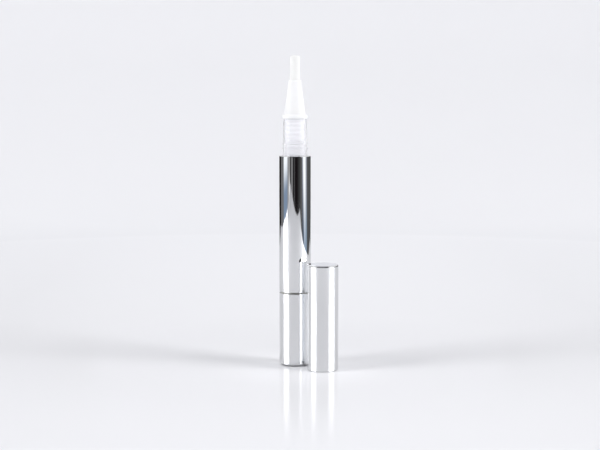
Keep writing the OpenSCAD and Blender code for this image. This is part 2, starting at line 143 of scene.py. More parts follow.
metal = add_node(tree, "ShaderNodeBsdfPrincipled", {
    "Base Color": tint.outputs["Result"], "Metallic": 1.0, "Roughness": haze.outputs["Result"],
    "Normal": relief.outputs["Normal"]})
tree.links.new(metal.outputs["BSDF"], surface)

barrel_in = PEN_R - SHELL_WALL
bm = turned([(PEN_R - EDGE_CHAMFER, BARREL_Z), (PEN_R, BARREL_Z + EDGE_CHAMFER), (PEN_R, BARREL_TOP),
             (PEN_R - ROLL_W, BARREL_TOP), (PEN_R - ROLL_W, BARREL_TOP - SHELL_WALL),
             (barrel_in, BARREL_TOP - SHELL_WALL), (barrel_in, BARREL_Z)],
            rounded=[(2, ROLL_ROUND, 10), (3, LIP_ROUND, 4)],
            holds=[BARREL_Z + EDGE_CHAMFER + WALL_HOLD, BARREL_TOP - ROLL_ROUND - WALL_HOLD])
piece(bm, "barrel_tube", polished_aluminium, "barrel", "polished_aluminium", "barrel_shell")

# Reservoir. The oil's tube, injection moulded in clear polypropylene and pressed into the barrel.
# Its neck stands above the barrel, with two snap beads for the cap and a ring groove below them.
TUBE_R = 5.55
TUBE_WALL = 0.8
TUBE_Z = 29.2
TUBE_TOP = 79.85
TUBE_ROUND = 0.2
CHAMBER_TOP = 79.0
SNAP_NECK_R = 4.575
SNAP_NECK_TOP = 86.5
STEP_ROUND = 0.06
NECK_R = 4.45
NECK_TOP = 94.3
NECK_ROUND = 0.12
NECK_BORE_R = 3.8
BEAD_HEIGHTS = (83.05, 84.85)
BEAD_ROUND = 0.45
BEAD_R = 4.8
GROOVE_Z = 81.05
GROOVE_W = 0.4
GROOVE_DEPTH = 0.15
TUBE_HOLD = 0.1
TUBE_STEPS = 192
CLEAR_FLOW = 2.5
CLEAR_POLYPROPYLENE = "F5F5F7"

# Clear polypropylene, moulded in a polished tool: it shows what is behind it, a little blurred,
# because the resin is never quite as clear as glass. Light that falls through it to other things
# goes straight on, as thin walls let it, so the neck throws no hard black shadow.
clear_polypropylene, tree, surface, place = start_material("clear_moulded_polypropylene")
flow = add_node(tree, "ShaderNodeTexNoise", {"Vector": place, "Scale": 1 / (CLEAR_FLOW * MM),
                                             "Detail": 2.0})
cloud = add_node(tree, "ShaderNodeMapRange", {"Value": flow.outputs["Fac"], "To Min": 0.14,
                                              "To Max": 0.2})
relief = add_node(tree, "ShaderNodeBump", {"Height": flow.outputs["Fac"], "Strength": 0.04,
                                           "Distance": 0.01 * MM})
resin = add_node(tree, "ShaderNodeBsdfPrincipled", {
    "Base Color": linear(CLEAR_POLYPROPYLENE), "Roughness": cloud.outputs["Result"], "IOR": 1.49,
    "Transmission Weight": 0.76, "Normal": relief.outputs["Normal"]})
straight = add_node(tree, "ShaderNodeBsdfTransparent", {"Color": linear(CLEAR_POLYPROPYLENE)})
ray = add_node(tree, "ShaderNodeLightPath")
passing = add_node(tree, "ShaderNodeMath", {0: ray.outputs["Is Shadow Ray"],
                                            1: ray.outputs["Is Diffuse Ray"]}, operation="MAXIMUM")
clear = add_node(tree, "ShaderNodeMixShader", {0: passing.outputs[0], 1: resin.outputs["BSDF"],
                                               2: straight.outputs["BSDF"]})
tree.links.new(clear.outputs["Shader"], surface)

# A snap bead is an arc. It comes from bevelling the point where its two end tangents meet, over a
# hair less than the whole tangent, so that the arc's ends stay apart from the neck's own points.
bead_axis_r = BEAD_R - BEAD_ROUND
bead_half = math.sqrt(BEAD_ROUND ** 2 - (SNAP_NECK_R - bead_axis_r) ** 2)
bead_point = bead_axis_r + BEAD_ROUND ** 2 / (SNAP_NECK_R - bead_axis_r)
bead_run = 0.999 * math.hypot(bead_point - SNAP_NECK_R, bead_half)
outline = [(TUBE_R, TUBE_Z), (TUBE_R, TUBE_TOP), (SNAP_NECK_R, TUBE_TOP), (SNAP_NECK_R, GROOVE_Z),
           (SNAP_NECK_R - GROOVE_DEPTH, GROOVE_Z), (SNAP_NECK_R - GROOVE_DEPTH, GROOVE_Z + GROOVE_W),
           (SNAP_NECK_R, GROOVE_Z + GROOVE_W)]
rounded = [(1, TUBE_ROUND, 4)]
for height in BEAD_HEIGHTS:
    rounded.append((len(outline) + 1, bead_run, 10))
    outline += [(SNAP_NECK_R, height - bead_half), (bead_point, height),
                (SNAP_NECK_R, height + bead_half)]
rounded += [(len(outline), STEP_ROUND, 3), (len(outline) + 2, NECK_ROUND, 4),
            (len(outline) + 3, NECK_ROUND, 4)]
outline += [(SNAP_NECK_R, SNAP_NECK_TOP), (NECK_R, SNAP_NECK_TOP), (NECK_R, NECK_TOP),
            (NECK_BORE_R, NECK_TOP), (NECK_BORE_R, CHAMBER_TOP + TUBE_R - TUBE_WALL - NECK_BORE_R),
            (TUBE_R - TUBE_WALL, CHAMBER_TOP), (TUBE_R - TUBE_WALL, TUBE_Z)]
bm = turned(outline, rounded, holds=[TUBE_TOP - TUBE_ROUND - TUBE_HOLD, CHAMBER_TOP - TUBE_HOLD],
            steps=TUBE_STEPS)
piece(bm, "clear_tube", clear_polypropylene, "barrel", "clear_polypropylene", "reservoir")

# Nozzle. The brush's holder, injection moulded in milky polypropylene: a cone, a flange that rests
# on the neck, and a plug whose five ribs seal in it. It is pressed in and never taken out.
PLUG_R = 3.5
PLUG_Z = 86.3
PLUG_ROUND = 0.15
RIB_R = 3.75
RIB_T = 0.5
RIB_ROUND = 0.08
RIBS = 5
FLANGE_R = 4.725
FLANGE_Z = 94.35
FLANGE_LOW_ROUND = 0.12
FLANGE_TOP_ROUND = 0.25
CONE_Z = 95.75
CONE_R = 4.05
CONE_FILLET = 0.1
CONE_TOP = 108.75
CONE_HOLDS = (95.9, 108.5)
TIP_R = 2.35
TIP_ROUND = 0.16
TIP_BORE_R = 1.98
SEAT_R = 2.45
SEAT_TOP = 104.15
FOOT_R = 2.85
FOOT_TOP = 87.75
NOZZLE_STEPS = 160
MILKY_FLOW = 3.0
MATT_GRAIN = 0.2
MILKY_POLYPROPYLENE = "DEDEDF"
MILKY_THIN = "DADADB"

# Natural polypropylene with a little white: light goes about a millimetre into it, so that its
# edges glow, and its fine matt skin gives wide soft highlights. The skin's grain, really 0.02 mm,
# is drawn at 0.2 mm.
milky_polypropylene, tree, surface, place = start_material("milky_moulded_polypropylene")
flow = add_node(tree, "ShaderNodeTexNoise", {"Vector": place, "Scale": 1 / (MILKY_FLOW * MM),
                                             "Detail": 3.0})
tint = add_node(tree, "ShaderNodeMix", {"Factor": flow.outputs["Fac"], "A": linear(MILKY_THIN),
                                        "B": linear(MILKY_POLYPROPYLENE)}, data_type="RGBA")
skin = add_node(tree, "ShaderNodeTexNoise", {"Vector": place, "Scale": 1 / (MATT_GRAIN * MM),
                                             "Detail": 2.0})
matt = add_node(tree, "ShaderNodeMapRange", {"Value": skin.outputs["Fac"], "To Min": 0.3,
                                             "To Max": 0.42})
relief = add_node(tree, "ShaderNodeBump", {"Height": skin.outputs["Fac"], "Strength": 0.2,
                                           "Distance": 0.01 * MM})
resin = add_node(tree, "ShaderNodeBsdfPrincipled", {
    "Base Color": tint.outputs["Result"], "Roughness": matt.outputs["Result"], "IOR": 1.49,
    "Subsurface Weight": 0.6, "Subsurface Radius": (1.0, 0.95, 0.9), "Subsurface Scale": 0.8 * MM,
    "Normal": relief.outputs["Normal"]})
tree.links.new(resin.outputs["BSDF"], surface)

outline = [(PLUG_R, PLUG_Z)]
rounded = [(0, PLUG_ROUND, 3)]
rib_slope = RIB_R - PLUG_R
for i in range(RIBS):
    rib_z = PLUG_Z + (i + 0.5) * (NECK_TOP - PLUG_Z) / RIBS
    rounded += [(len(outline) + 1, RIB_ROUND, 2), (len(outline) + 2, RIB_ROUND, 2)]
    outline += [(PLUG_R, rib_z - rib_slope), (RIB_R, rib_z), (RIB_R, rib_z + RIB_T),
                (PLUG_R, rib_z + RIB_T + rib_slope)]
rounded += [(len(outline) + 1, FLANGE_LOW_ROUND, 4), (len(outline) + 2, FLANGE_TOP_ROUND, 5),
            (len(outline) + 3, CONE_FILLET, 3), (len(outline) + 4, TIP_ROUND, 4)]
outline += [(PLUG_R, FLANGE_Z), (FLANGE_R, FLANGE_Z), (FLANGE_R, CONE_Z), (CONE_R, CONE_Z),
            (TIP_R, CONE_TOP), (TIP_BORE_R, CONE_TOP), (TIP_BORE_R, SEAT_TOP), (SEAT_R, SEAT_TOP),
            (SEAT_R, FOOT_TOP), (FOOT_R, FOOT_TOP), (FOOT_R, PLUG_Z)]
bm = turned(outline, rounded, CONE_HOLDS, steps=NOZZLE_STEPS)
piece(bm, "brush_holder", milky_polypropylene, "barrel", "milky_polypropylene", "nozzle")


# Feed pipe. A moulded core with a thin pipe on top, pushed up the plug so that it locks the brush's
# slug in and carries the oil into the middle of the bundle. It is the same milky resin.
def dress(name, material):
    """Gives a CAD node that keeps its own mesh this material."""
    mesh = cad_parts[name].data
    mesh.materials.clear()
    mesh.materials.append(material)


dress("feed_pipe", milky_polypropylene)

# Brush. A round bundle of nylon filaments 0.075 mm thick, fused together at the root in a slug that
# sits in the cone, and ground to a low dome at the tip. The feed pipe ends in its middle.
SLUG_Z = 102.1
SLUG_TOP = 104.1
SLUG_R = 2.4
SLUG_ROUND = 0.1
ROOT_Z = 103.1
KNEE_Z = 111.45
BRUSH_TOP = 117.96
BUNDLE_R = 1.92
BUNDLE_IN_R = 0.82
TIP_SHARE = 0.92
TIP_SHIFT = 0.012
TIP_UNEVEN = 0.05
DOME = 0.32
FILAMENTS = 1300
FILAMENT_R = 0.042
FILAMENT_SIDES = 5
FILAMENT_TAPER = 0.07
GOLDEN_ANGLE = 2.39996
STRAND_GAP = 0.15
BRISTLE_WHITE = "FBFBFA"
BRISTLE_SHADE = "F5F5F4"

# Extruded nylon filament: white, smooth and a little see-through, so that the bundle reads as fine
# upright lines. The lines are drawn at 0.15 mm, two filaments wide, so that they show.
white_nylon, tree, surface, place = start_material("white_extruded_nylon_filament")
upright = add_node(tree, "ShaderNodeMapping", {"Vector": place, "Scale": (1, 1, 0.02)})
strands = add_node(tree, "ShaderNodeTexNoise", {"Vector": upright.outputs["Vector"],
                                                "Scale": 1 / (STRAND_GAP * MM), "Detail": 1.0})
tint = add_node(tree, "ShaderNodeMix", {"Factor": strands.outputs["Fac"], "A": linear(BRISTLE_SHADE),
                                        "B": linear(BRISTLE_WHITE)}, data_type="RGBA")
gloss = add_node(tree, "ShaderNodeMapRange", {"Value": strands.outputs["Fac"], "To Min": 0.3,
                                              "To Max": 0.5})
nylon = add_node(tree, "ShaderNodeBsdfPrincipled", {
    "Base Color": tint.outputs["Result"], "Roughness": gloss.outputs["Result"], "IOR": 1.53,
    "Subsurface Weight": 0.4, "Subsurface Radius": (1.0, 1.0, 0.95), "Subsurface Scale": 0.3 * MM})
tree.links.new(nylon.outputs["BSDF"], surface)

# Each filament stands upright from its root beside the feed pipe to a knee just above the pipe's
# mouth, and leans in from there, so that the tips close over the mouth. Drawn 0.084 mm thick, 1300
# of them fill the bundle without a gap.
bm = turned([(BUNDLE_IN_R, SLUG_Z), (SLUG_R, SLUG_Z), (SLUG_R, SLUG_TOP), (BUNDLE_IN_R, SLUG_TOP)],
            rounded=[(1, SLUG_ROUND, 2), (2, SLUG_ROUND, 2)], steps=64)
lay = random.Random(11)
bore_share = (BUNDLE_IN_R / BUNDLE_R) ** 2
for i in range(FILAMENTS):
    tip_share = math.sqrt((i + 0.5) / FILAMENTS)
    root_share = math.sqrt(bore_share + (1 - bore_share) * tip_share ** 2)
    turn = i * GOLDEN_ANGLE
    out = Vector((math.cos(turn), math.sin(turn), 0)) * (BUNDLE_R - FILAMENT_R) * MM
    root, knee = out * root_share, out * root_share * (1 + TIP_SHARE) / 2
    tip = out * tip_share * (TIP_SHARE + lay.uniform(-TIP_SHIFT, TIP_SHIFT))
    root.z, knee.z = ROOT_Z * MM, KNEE_Z * MM
    tip.z = (BRUSH_TOP - DOME * tip_share ** 2 - abs(lay.gauss(0, TIP_UNEVEN))) * MM
    for low, high, thick in ((root, knee, 1.0), (knee, tip, 1 - FILAMENT_TAPER)):
        run = high - low
        stand = Matrix.Translation((low + high) / 2) @ run.to_track_quat("Z", "Y").to_matrix().to_4x4()
        bmesh.ops.create_cone(bm, cap_ends=True, segments=FILAMENT_SIDES, depth=run.length,
                              radius1=FILAMENT_R * thick * MM,
                              radius2=FILAMENT_R * (thick - FILAMENT_TAPER) * MM, matrix=stand)
piece(bm, "nylon_bundle", white_nylon, "barrel", "white_nylon", "brush", crease=60)

# Drive nut and the knob's works. The nut is a fixed acetal sleeve pressed into the barrel's lower
# end, with the screw's nut above and eighteen saw teeth below. The knob's core snaps into it and
# carries the pawl ring, whose three springy arms click over the teeth. All are moulded in acetal.
ACETAL = "EDEDE8"
ACETAL_FLOW_MARK = "E6E6E0"
ACETAL_FLOW = 2.0

# Acetal, moulded: dense, waxy and off-white, with a soft satin skin and faint flow marks.
white_acetal, tree, surface, place = start_material("white_moulded_acetal")
flow = add_node(tree, "ShaderNodeTexNoise", {"Vector": place, "Scale": 1 / (ACETAL_FLOW * MM),
                                             "Detail": 3.0})
tint = add_node(tree, "ShaderNodeMix", {"Factor": flow.outputs["Fac"], "A": linear(ACETAL_FLOW_MARK),
                                        "B": linear(ACETAL)}, data_type="RGBA")
satin = add_node(tree, "ShaderNodeMapRange", {"Value": flow.outputs["Fac"], "To Min": 0.28,
                                              "To Max": 0.4})
relief = add_node(tree, "ShaderNodeBump", {"Height": flow.outputs["Fac"], "Strength": 0.15,
                                           "Distance": 0.03 * MM})
resin = add_node(tree, "ShaderNodeBsdfPrincipled", {
    "Base Color": tint.outputs["Result"], "Roughness": satin.outputs["Result"], "IOR": 1.48,
    "Subsurface Weight": 0.2, "Subsurface Radius": (1.0, 0.95, 0.85), "Subsurface Scale": 0.5 * MM,
    "Normal": relief.outputs["Normal"]})
tree.links.new(resin.outputs["BSDF"], surface)
for name in ("drive_nut", "knob_core", "pawl_ring"):
    dress(name, white_acetal)

# Knob shell. A cup drawn from the same aluminium, polished and glued over the knob's core. It stands
# on a flat foot, stepped in from its rounded edge, and its rim is rounded where it meets the barrel.
KNOB_TOP = 28.08
END_T = 0.5
END_ROUND = 0.6
RIM_ROUND = 0.25
FOOT_STEP_R = 4.2
FOOT_STEP_H = 0.3
bm = turned([(0, 0), (FOOT_STEP_R, 0), (FOOT_STEP_R, FOOT_STEP_H), (PEN_R, FOOT_STEP_H),
             (PEN_R, KNOB_TOP), (barrel_in, KNOB_TOP), (barrel_in, END_T), (0, END_T)],
            rounded=[(3, END_ROUND, 10), (4, RIM_ROUND, 8), (6, END_ROUND - SHELL_WALL, 4)],
            holds=[FOOT_STEP_H + END_ROUND + WALL_HOLD, KNOB_TOP - RIM_ROUND - WALL_HOLD])
piece(bm, "knob_cup", polished_aluminium, "knob", "polished_aluminium", "knob_shell")

# Lead screw. A moulded acetal rod with a thread of 1.6 mm lead and two flats, by which the knob's
# core turns it. Its head snaps into the piston and turns freely there.
SCREW_Z = 2.0
SCREW_TOP = 40.45
SCREW_R = 1.7
SCREW_ROOT_R = 1.4
SCREW_ROUND = 0.25
SCREW_FLAT = 1.19
SCREW_LEAD = 1.6
SCREW_STEPS = 48
THREAD_SUNK = 0.1
THREAD_FOOT = (0.3, 1.4)
THREAD_CREST = (0.75, 0.95)
THREAD_END = 1.7
THREAD_STEPS = 40
HEAD_Z = 41.65
HEAD_R = 1.65
HEAD_H = 2.1
HEAD_NECK_R = 1.25
HEAD_ROUND = 0.1

bm = turned([(0, SCREW_Z), (SCREW_ROOT_R, SCREW_Z), (SCREW_ROOT_R, SCREW_TOP),
             (HEAD_NECK_R, SCREW_TOP), (HEAD_NECK_R, HEAD_Z), (HEAD_R, HEAD_Z),
             (HEAD_R, HEAD_Z + HEAD_H / 2), (HEAD_NECK_R, HEAD_Z + HEAD_H), (0, HEAD_Z + HEAD_H)],
            rounded=[(1, SCREW_ROUND, 2), (6, HEAD_ROUND, 2)], steps=SCREW_STEPS)
ridge_foot = SCREW_ROOT_R - THREAD_SUNK
ridge = [bm.verts.new((r * MM, 0, (SCREW_Z + z) * MM))
         for r, z in ((ridge_foot, THREAD_FOOT[0]), (SCREW_R, THREAD_CREST[0]),
                      (SCREW_R, THREAD_CREST[1]), (ridge_foot, THREAD_FOOT[1]))]
turns = math.floor((SCREW_TOP - SCREW_Z - THREAD_END) / SCREW_LEAD)
bmesh.ops.spin(bm, geom=[bm.faces.new(ridge)], cent=(0, 0, 0), axis=(0, 0, 1),
               dvec=(0, 0, SCREW_LEAD * MM / THREAD_STEPS), angle=math.tau * turns,
               steps=THREAD_STEPS * turns, use_duplicate=False)
for side in (1, -1):
    below_head = [f for f in bm.faces if f.calc_center_median().z < SCREW_TOP * MM]
    geom = {g for f in below_head for e in f.edges for g in (e, *e.verts, *e.link_faces)}
    bmesh.ops.bisect_plane(bm, geom=list(geom), dist=MM * 1e-5, plane_co=(0, side * SCREW_FLAT * MM, 0),
                           plane_no=(0, side, 0), clear_outer=True)
    bmesh.ops.holes_fill(bm, edges=[e for e in bm.edges if e.is_boundary], sides=0)
bmesh.ops.recalc_face_normals(bm, faces=bm.faces)
piece(bm, "threaded_rod", white_acetal, "screw", "white_acetal", "lead_screw", crease=40)

# Piston. A plunger moulded in soft polyethylene, with a thin lip at each end that wipes the tube's
# wall. The screw's head snaps through its floor.
SOFT_POLYETHYLENE = "E9EDF0"
SOFT_SHADE = "E1E6EA"
SOFT_FLOW = 1.5

# Low-density polyethylene: bluish white, greasy to look at, and too soft in its gloss to show a
# sharp highlight.
soft_polyethylene, tree, surface, place = start_material("soft_moulded_polyethylene")
flow = add_node(tree, "ShaderNodeTexNoise", {"Vector": place, "Scale": 1 / (SOFT_FLOW * MM),
                                             "Detail": 3.0})
tint = add_node(tree, "ShaderNodeMix", {"Factor": flow.outputs["Fac"], "A": linear(SOFT_SHADE),
                                        "B": linear(SOFT_POLYETHYLENE)}, data_type="RGBA")
greasy = add_node(tree, "ShaderNodeMapRange", {"Value": flow.outputs["Fac"], "To Min": 0.4,
                                               "To Max": 0.55})
resin = add_node(tree, "ShaderNodeBsdfPrincipled", {
    "Base Color": tint.outputs["Result"], "Roughness": greasy.outputs["Result"], "IOR": 1.51,
    "Subsurface Weight": 0.5, "Subsurface Radius": (1.0, 1.0, 1.0), "Subsurface Scale": 0.6 * MM})
tree.links.new(resin.outputs["BSDF"], surface)
dress("piston", soft_polyethylene)

# Cap. A polished aluminium cup over a milky liner, whose inner ridge snaps between the neck's beads.
# Pulled off, it stands beside the pen on its open end, on the inner edge of a slightly conical rim.
CAP_R = 5.9
CAP_LEN = 40.0
CAP_RIM_Z = 0.18
CAP_RIM_ROUND = 0.1
CAP_EDGE_ROUND = 0.08
CAP_AXIS = (10.3852, -9.6844)
bm = turned([(0, CAP_LEN), (CAP_R, CAP_LEN), (CAP_R, CAP_RIM_Z), (CAP_R - SHELL_WALL, 0),
             (CAP_R - SHELL_WALL, CAP_LEN - END_T), (0, CAP_LEN - END_T)],
            rounded=[(1, END_ROUND, 10), (2, CAP_RIM_ROUND, 4), (3, CAP_EDGE_ROUND, 3),
                     (4, END_ROUND - SHELL_WALL, 4)],
            holds=[CAP_LEN - END_ROUND - WALL_HOLD, CAP_RIM_Z + CAP_RIM_ROUND + WALL_HOLD],
            axis=CAP_AXIS)
piece(bm, "cap_cup", polished_aluminium, "cap", "polished_aluminium", "cap_shell")
dress("cap_liner", milky_polypropylene)

# Table. A glossy white sheet with a narrow sweep standing behind it, which only the metal sees. Its
# edges, and the dark room past them, draw the dark flames down the barrel, so its outline follows
# the flames rather than a straight edge.
TABLE_EDGE = ((-0.585, -0.895), (-0.198, -0.765), (0.190, -0.598), (0.415, -0.555), (0.366, -0.360),
              (0.362, 0.000), (0.305, 0.165), (0.300, 0.330), (0.190, 0.330), (0.190, 0.500),
              (-0.190, 0.500), (-0.190, 0.330), (-0.420, 0.330), (-0.470, 0.243), (-0.578, -0.070))
TABLE_Z = -0.00005
SWEEP_Y = 0.5
SWEEP_HALF = 0.19
SWEEP_R = 0.15
SWEEP_TOP = 0.7
SWEEP_TURN = 0.08
SHEET_WHITE = "F4F4F7"
SWEEP_PAINTED_SHADE = "DBDBDF"
BLACK = "000000"


def stage_mesh(bm, name, material, **seen):
    """A stage object, hidden from the kinds of ray that are named false."""
    mesh = bpy.data.meshes.new(name)
    bm.to_mesh(mesh)
    bm.free()
    mesh.shade_smooth()
    mesh.materials.append(material)
    made = bpy.data.objects.new(name, mesh)
    bpy.context.scene.collection.objects.link(made)
    for ray_kind, value in seen.items():
        setattr(made, "visible_" + ray_kind, value)
    return made


# Cast acrylic sheet: plain white under a clear smooth skin. The sweep behind is painted greyer, as shade
# for being further from the lights. The flat part has a painted shadow round the pen, which keeps the
# light off it, and painted shade where a mirror looks straight down at it, and it turns from glossy to
# matt with distance.
white_sheet, tree, surface, place = start_material("white_acrylic_sheet")
split = add_node(tree, "ShaderNodeSeparateXYZ", {"Vector": place})
# Painted shade: the sweep's colour turns greyer where it rises from the flat part.
bent = add_node(tree, "ShaderNodeMapRange", {"Value": split.outputs["Z"], "From Min": 0.0,
                                             "From Max": SWEEP_TURN})
plain_tone = add_node(tree, "ShaderNodeMix", {"Factor": bent.outputs["Result"], "A": linear(SHEET_WHITE),
                                              "B": linear(SWEEP_PAINTED_SHADE)}, data_type="RGBA")
away = add_node(tree, "ShaderNodeVectorMath", {0: place}, operation="LENGTH")
# Painted shadow: the flat part's colour darkens towards the pen's feet.
painted_pen_shadow = add_node(tree, "ShaderNodeMapRange", {"Value": away.outputs["Value"], "From Min": 0.02,
                                               "From Max": 0.26, "To Min": 0.15, "To Max": 0.0})
pen_tone = add_node(tree, "ShaderNodeMix", {"Factor": painted_pen_shadow.outputs["Result"], "B": linear(BLACK),
                                            "A": plain_tone.outputs["Result"]}, data_type="RGBA")
# Painted shade: for a ray that a mirror sends steeply down at the flat part, its colour darkens.
facing = add_node(tree, "ShaderNodeLayerWeight", {"Blend": 0.5})
painted_steep_shade = add_node(tree, "ShaderNodeMapRange", {"Value": facing.outputs["Facing"], "From Min": 0.5,
                                              "From Max": 0.78, "To Min": 0.5, "To Max": 0.0})
ray = add_node(tree, "ShaderNodeLightPath")
mirrored = add_node(tree, "ShaderNodeMath", {0: painted_steep_shade.outputs["Result"],
                                             1: ray.outputs["Is Glossy Ray"]}, operation="MULTIPLY")
flat = add_node(tree, "ShaderNodeMath", {0: 1.0, 1: bent.outputs["Result"]}, operation="SUBTRACT")
painted_shade_from_above = add_node(tree, "ShaderNodeMath", {0: mirrored.outputs[0], 1: flat.outputs[0]},
                      operation="MULTIPLY")
sheet_tone = add_node(tree, "ShaderNodeMix", {"Factor": painted_shade_from_above.outputs[0], "B": linear(BLACK),
                                              "A": pen_tone.outputs["Result"]}, data_type="RGBA")
glossy_sheet = add_node(tree, "ShaderNodeBsdfPrincipled", {
    "Base Color": sheet_tone.outputs["Result"], "Roughness": 0.14, "IOR": 1.49, "Coat Weight": 0.8,
    "Coat Roughness": 0.55})
matt_sheet = add_node(tree, "ShaderNodeBsdfDiffuse", {"Color": sheet_tone.outputs["Result"]})
matt_share = add_node(tree, "ShaderNodeMapRange", {"Value": away.outputs["Value"], "From Min": 0.15,
                                                   "From Max": 0.6, "To Min": 0.0, "To Max": 0.4})
sheet = add_node(tree, "ShaderNodeMixShader", {0: matt_share.outputs["Result"],
                                               1: glossy_sheet.outputs["BSDF"],
                                               2: matt_sheet.outputs["BSDF"]})
tree.links.new(sheet.outputs["Shader"], surface)

bm = bmesh.new()
bm.faces.new([bm.verts.new((x, y, TABLE_Z)) for x, y in TABLE_EDGE])
stage_mesh(bm, "table", white_sheet, camera=False, transmission=False, shadow=False)

bm = bmesh.new()
foot = [bm.verts.new((x, SWEEP_Y, TABLE_Z)) for x in (-SWEEP_HALF, SWEEP_HALF)]
bend = bmesh.ops.spin(bm, geom=[*foot, bm.edges.new(foot)], cent=(0, SWEEP_Y, SWEEP_R),
                      axis=(1, 0, 0), dvec=(0, 0, 0), angle=math.pi / 2, steps=16,
                      use_duplicate=False)
top = [g for g in bend["geom_last"] if isinstance(g, bmesh.types.BMEdge)]
rise = bmesh.ops.extrude_edge_only(bm, edges=top)["geom"]
bmesh.ops.translate(bm, verts=[g for g in rise if isinstance(g, bmesh.types.BMVert)],
                    vec=(0, 0, SWEEP_TOP - SWEEP_R))
bmesh.ops.recalc_face_normals(bm, faces=bm.faces)
stage_mesh(bm, "sweep", white_sheet, camera=False, transmission=False, diffuse=False, shadow=False)

# Floor and cove. In the table's place the camera sees a plain white floor that curves up into a
# round wall, so that no edge shows from any side. The metal doesn't see it.
COVE_R = 0.66
COVE_BEND = 0.2
COVE_TOP = 1.6
COVE_STEPS = 96
FEET = (0.005, -0.003, 0)
FEET_PAINTED_LIGHT = "DDDDE0"
FLOOR_FRONT_PAINTED_SHADE = "D6D6D9"
FLOOR_FAR = "FBFBFE"
COVE_WHITE = "E0E0E3"

# Seamless background paper: matt white, with a faint sheen close round the pen that shows its
# reflection. Painted shade makes it darker towards the front than at the back, and greyer out to the
# sides, as soft light leaves it, and painted light makes it a little paler again right under the feet,
# where the polished metal throws light down on it.
background_paper, tree, surface, place = start_material("matt_background_paper")
split = add_node(tree, "ShaderNodeSeparateXYZ", {"Vector": place})
# Painted shade: the floor's colour darkens from the back towards the front.
behind = add_node(tree, "ShaderNodeMapRange", {"Value": split.outputs["Y"], "From Min": 0.03,
                                               "From Max": 0.483})
painted_depth_shade = add_node(tree, "ShaderNodeMix", {"Factor": behind.outputs["Result"],
                                              "A": linear(FLOOR_FRONT_PAINTED_SHADE), "B": linear(FLOOR_FAR)},
                      data_type="RGBA")
# Painted light: a paler patch on the floor right under the feet.
from_feet = add_node(tree, "ShaderNodeVectorMath", {0: place, 1: FEET}, operation="DISTANCE")
painted_feet_light = add_node(tree, "ShaderNodeMapRange", {"Value": from_feet.outputs["Value"], "From Min": 0.012,
                                             "From Max": 0.042}, interpolation_type="SMOOTHSTEP")
feet_tone = add_node(tree, "ShaderNodeMix", {"Factor": painted_feet_light.outputs["Result"], "A": linear(FEET_PAINTED_LIGHT),
                                             "B": painted_depth_shade.outputs["Result"]}, data_type="RGBA")
# Painted shade: the front of the floor greys out to the sides.
sideways = add_node(tree, "ShaderNodeMath", {0: split.outputs["X"], 1: 2.0}, operation="POWER")
side_painted_shade = add_node(tree, "ShaderNodeMapRange", {"Value": sideways.outputs[0], "From Max": 0.02,
                                                  "To Max": 0.085})
in_front = add_node(tree, "ShaderNodeMath", {0: 1.0, 1: behind.outputs["Result"]},
                    operation="SUBTRACT")
side_share = add_node(tree, "ShaderNodeMath", {0: side_painted_shade.outputs["Result"], 1: in_front.outputs[0]},
                      operation="MULTIPLY")
floor_tone = add_node(tree, "ShaderNodeMix", {"Factor": side_share.outputs[0], "B": linear(BLACK),
                                              "A": feet_tone.outputs["Result"]}, data_type="RGBA")
away = add_node(tree, "ShaderNodeVectorMath", {0: place}, operation="LENGTH")
to_cove = add_node(tree, "ShaderNodeMapRange", {"Value": away.outputs["Value"], "From Min": 0.46,
                                                "From Max": 0.66})
cove_share = add_node(tree, "ShaderNodeMath", {0: to_cove.outputs["Result"], 1: 0.6}, operation="POWER")
paper_tone = add_node(tree, "ShaderNodeMix", {"Factor": cove_share.outputs[0], "B": linear(COVE_WHITE),
                                              "A": floor_tone.outputs["Result"]}, data_type="RGBA")
matt_paper = add_node(tree, "ShaderNodeBsdfDiffuse", {"Color": paper_tone.outputs["Result"]})
sheen = add_node(tree, "ShaderNodeBsdfGlossy", {"Color": linear("FFFFFF"), "Roughness": 0.12})
sheen_share = add_node(tree, "ShaderNodeMapRange", {
    "Value": away.outputs["Value"], "From Min": 0.05, "From Max": 0.12, "To Min": 0.1, "To Max": 0.0},
    interpolation_type="SMOOTHSTEP")
paper = add_node(tree, "ShaderNodeMixShader", {0: sheen_share.outputs["Result"],
                                               1: matt_paper.outputs["BSDF"], 2: sheen.outputs["BSDF"]})
tree.links.new(paper.outputs["Shader"], surface)

bm = bmesh.new()
points = [bm.verts.new((r, 0, z)) for r, z in ((0, 0), (COVE_R, 0), (COVE_R, COVE_TOP))]
for a, b in zip(points, points[1:]):
    bm.edges.new((a, b))
bmesh.ops.bevel(bm, geom=[points[1]], offset=COVE_BEND, offset_type="OFFSET", affect="VERTICES",
                segments=24, profile=0.5, material=-1)
bmesh.ops.spin(bm, geom=bm.verts[:] + bm.edges[:], cent=(0, 0, 0), axis=(0, 0, 1), dvec=(0, 0, 0),
               angle=math.tau, steps=COVE_STEPS, use_merge=True, use_duplicate=False)
bmesh.ops.remove_doubles(bm, verts=bm.verts, dist=1e-6)
bmesh.ops.recalc_face_normals(bm, faces=bm.faces)
bmesh.ops.reverse_faces(bm, faces=bm.faces)
stage_mesh(bm, "floor_and_cove", background_paper, glossy=False, diffuse=False, shadow=False)

# Soft boxes. One stands upright on each side of the camera. Its bright middle lights the scene, and
# its whole front, a wider and dimmer sheet which only the metal sees, draws the bright line down
# each tube. Both glow only towards the pen, and can be looked through from behind.
STRIP_LIGHT = 4.2
FRONT_LIGHT = 1.08
FRONT_LIGHT_AGAIN = 0.84 * STRIP_LIGHT
CLOTH_EVEN = 0.5
BOX_FAR = 0.6
FRONT_FAR = 0.602
BOX_LOW = 0.062
BOX_TOP = 0.8
SOFT_BOXES = (("left", (-89, -47), (-82, -58), 1.65 * STRIP_LIGHT),
              ("right", (47, 93), (58, 82), 1.92 * STRIP_LIGHT))


